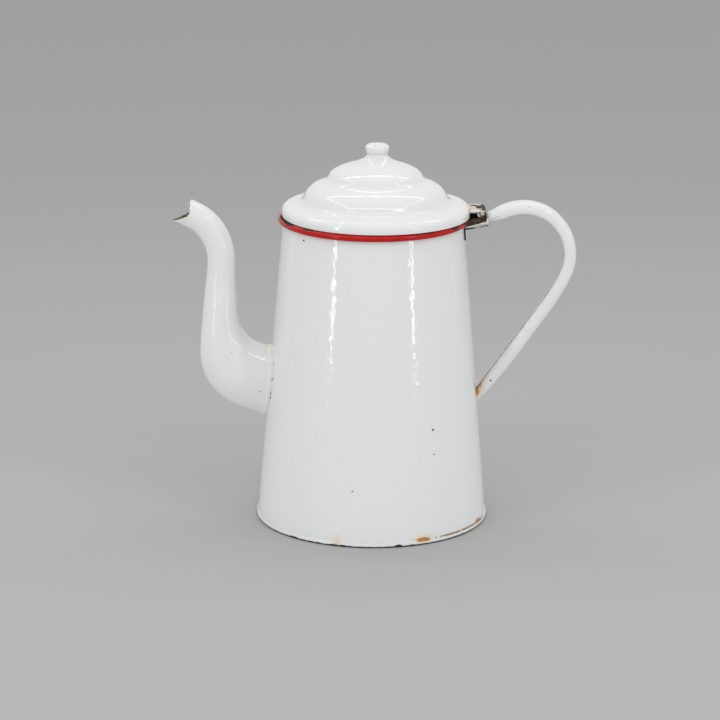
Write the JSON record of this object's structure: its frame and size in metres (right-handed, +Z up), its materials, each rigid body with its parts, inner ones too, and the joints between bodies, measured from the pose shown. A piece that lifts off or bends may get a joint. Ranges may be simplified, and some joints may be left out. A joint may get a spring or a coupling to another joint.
{
  "type": "coffee pot",
  "caption": "Tapered enamelled steel coffee pot with a gooseneck spout, a strap handle, a red rolled rim and a stepped, knobbed lid on a hinge.",
  "frame": {"origin": "centre of the base, on the surface the pot stands on", "axes": "+Z up; -X towards the spout; +X towards the handle and the lid's hinge; the pot is the same on both sides of the XZ plane"},
  "size_m": [0.2766, 0.16, 0.2626],
  "materials": {
    "white_enamel": "gloss vitreous enamel on sheet steel",
    "red_enamel": "gloss vitreous enamel, chipped",
    "chipped_enamel": "worn enamel, chipped to the iron",
    "rusted_steel": "rusted, matte",
    "iron_wire": "dull"
  },
  "bodies": {
    "pot": {"body_shell": "white_enamel", "rim_bead": "red_enamel", "rim_wire": "iron_wire", "base_pan": "white_enamel", "spout_left_half": "white_enamel", "spout_right_half": "white_enamel", "handle_strap": "white_enamel", "hinge_bracket": "rusted_steel", "hinge_pin": "rusted_steel"},
    "lid": {"lid_shell": "white_enamel", "lid_collar": "white_enamel", "lid_knob": "white_enamel", "lid_hinge_leaf": "chipped_enamel"}
  },
  "joints": [
    {"name": "lid_hinge", "type": "hinge", "parent": "pot", "child": "lid", "pos_m": [0.0735, 0, 0.2154], "axis": [0, 1, 0], "range_deg": [0, 128]}
  ]
}
